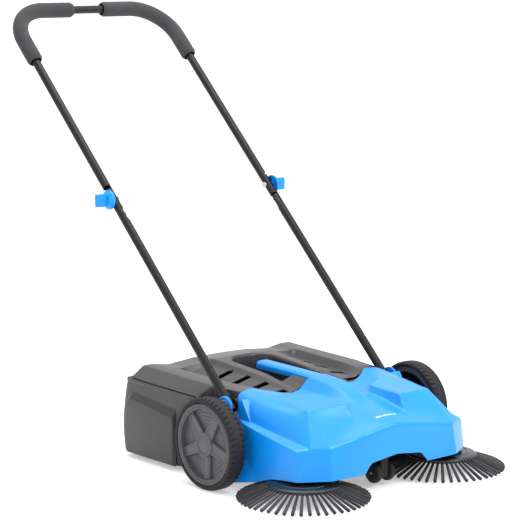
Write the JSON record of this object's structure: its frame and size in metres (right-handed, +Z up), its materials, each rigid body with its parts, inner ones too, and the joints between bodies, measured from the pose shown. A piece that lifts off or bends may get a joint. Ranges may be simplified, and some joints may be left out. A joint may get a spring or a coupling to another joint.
{
  "type": "walk behind sweeper",
  "caption": "Hand-pushed floor sweeper: blue front cover over side brushes and a roller brush, grey hopper at the back, large wheels and a folding U handle with foam grips.",
  "frame": {"origin": "on the floor, under the middle of the whole object's box", "axes": "+X to the machine's right, +Y to the rear where the user walks, +Z up"},
  "size_m": [0.7, 1.2285, 1.0231],
  "materials": {
    "cover_blue": "light blue moulded plastic, satin gloss",
    "hopper_grey": "warm grey moulded plastic, fine texture",
    "dark_plastic": "dark grey moulded plastic",
    "dark_paint": "dark powder coat",
    "tube_paint": "dark grey powder coat on steel tube",
    "black_plastic": "black moulded plastic",
    "bristle": "black plastic bristle",
    "tyre_rubber": "dark grey rubber",
    "lip_rubber": "black rubber sheet",
    "grip_foam": "dark grey closed-cell foam",
    "zinc_steel": "zinc plated steel"
  },
  "bodies": {
    "chassis": {"chassis_frame": "dark_paint", "front_cover": "cover_blue", "brush_hood": "black_plastic", "castor_bracket": "dark_plastic", "castor_pin": "zinc_steel", "stub_axle_left": "zinc_steel", "stub_axle_right": "zinc_steel"},
    "hopper": {"hopper_tub": "hopper_grey", "hopper_lid": "hopper_grey", "hopper_catch": "black_plastic", "mouth_lip": "lip_rubber"},
    "castor_left": {"castor_wheel_left": "black_plastic"},
    "castor_right": {"castor_wheel_right": "black_plastic"},
    "wheel_left": {"rim_left": "dark_plastic", "tyre_left": "tyre_rubber", "hub_cap_left": "dark_plastic", "wheel_gear_left": "black_plastic"},
    "wheel_right": {"rim_right": "dark_plastic", "tyre_right": "tyre_rubber", "hub_cap_right": "dark_plastic", "wheel_gear_right": "black_plastic", "wheel_spur_right": "black_plastic"},
    "drive_left": {"drive_shaft_left": "black_plastic"},
    "drive_right": {"drive_shaft_right": "black_plastic"},
    "side_brush_left": {"side_brush_plate_left": "black_plastic", "side_bristles_left": "bristle", "side_brush_gear_left": "black_plastic"},
    "side_brush_right": {"side_brush_plate_right": "black_plastic", "side_bristles_right": "bristle", "side_brush_gear_right": "black_plastic"},
    "main_brush": {"main_brush_core": "black_plastic", "main_brush_bristles": "bristle", "main_brush_pinion": "black_plastic"},
    "handle_lower": {"lower_tube_left": "tube_paint", "lower_tube_right": "tube_paint", "hinge_insert_left": "black_plastic", "hinge_insert_right": "black_plastic", "pivot_bolt_left": "zinc_steel", "pivot_bolt_right": "zinc_steel", "pivot_cap_left": "cover_blue", "pivot_cap_right": "cover_blue", "clamp_bolt_left": "zinc_steel", "clamp_bolt_right": "zinc_steel"},
    "handle_upper": {"upper_handle": "tube_paint", "foam_grip_left": "grip_foam", "foam_grip_right": "grip_foam", "clamp_nut_left": "zinc_steel", "clamp_nut_right": "zinc_steel"},
    "knob_left": {"clamp_knob_left": "cover_blue"},
    "knob_right": {"clamp_knob_right": "cover_blue"}
  },
  "joints": [
    {"name": "hopper_slide", "type": "slide", "parent": "chassis", "child": "hopper", "axis": [0, 1, 0], "range_m": [0, 0.3]},
    {"name": "castor_left_roll", "type": "hinge", "parent": "chassis", "child": "castor_left", "pos_m": [-0.02, -0.48767, 0.0315], "axis": [1, 0, 0], "continuous": true},
    {"name": "castor_right_roll", "type": "hinge", "parent": "chassis", "child": "castor_right", "pos_m": [0.02, -0.48767, 0.0315], "axis": [1, 0, 0], "continuous": true},
    {"name": "wheel_left_roll", "type": "hinge", "parent": "chassis", "child": "wheel_left", "pos_m": [-0.3, -0.27567, 0.101], "axis": [1, 0, 0], "continuous": true},
    {"name": "wheel_right_roll", "type": "hinge", "parent": "chassis", "child": "wheel_right", "pos_m": [0.3, -0.27567, 0.101], "axis": [1, 0, 0], "continuous": true},
    {"name": "drive_left_spin", "type": "hinge", "parent": "chassis", "child": "drive_left", "pos_m": [-0.205, -0.37567, 0.101], "axis": [0, 1, 0], "continuous": true},
    {"name": "drive_right_spin", "type": "hinge", "parent": "chassis", "child": "drive_right", "pos_m": [0.205, -0.37567, 0.101], "axis": [0, 1, 0], "continuous": true},
    {"name": "side_brush_left_spin", "type": "hinge", "parent": "chassis", "child": "side_brush_left", "pos_m": [-0.205, -0.46967, 0.06], "axis": [0, 0, 1], "continuous": true},
    {"name": "side_brush_right_spin", "type": "hinge", "parent": "chassis", "child": "side_brush_right", "pos_m": [0.205, -0.46967, 0.06], "axis": [0, 0, 1], "continuous": true},
    {"name": "main_brush_spin", "type": "hinge", "parent": "chassis", "child": "main_brush", "pos_m": [0, -0.25567, 0.0575], "axis": [1, 0, 0], "continuous": true},
    {"name": "handle_pivot", "type": "hinge", "parent": "chassis", "child": "handle_lower", "pos_m": [0, -0.25867, 0.171], "axis": [1, 0, 0], "range_deg": [0, 45]},
    {"name": "handle_fold", "type": "hinge", "parent": "handle_lower", "child": "handle_upper", "pos_m": [0, 0.16395, 0.58341], "axis": [1, 0, 0], "range_deg": [0, 145]},
    {"name": "knob_left_turn", "type": "hinge", "parent": "handle_lower", "child": "knob_left", "pos_m": [-0.25, 0.16395, 0.58341], "axis": [1, 0, 0], "range_deg": [0, 360]},
    {"name": "knob_right_turn", "type": "hinge", "parent": "handle_lower", "child": "knob_right", "pos_m": [0.25, 0.16395, 0.58341], "axis": [1, 0, 0], "range_deg": [0, 360]}
  ],
  "couplings": [
    {"joint": "drive_left_spin", "follows": "wheel_left_roll", "ratio": -2.4},
    {"joint": "drive_right_spin", "follows": "wheel_right_roll", "ratio": 2.4},
    {"joint": "side_brush_left_spin", "follows": "wheel_left_roll", "ratio": 1.3},
    {"joint": "side_brush_right_spin", "follows": "wheel_right_roll", "ratio": -1.3},
    {"joint": "main_brush_spin", "follows": "wheel_right_roll", "ratio": -2.27}
  ]
}
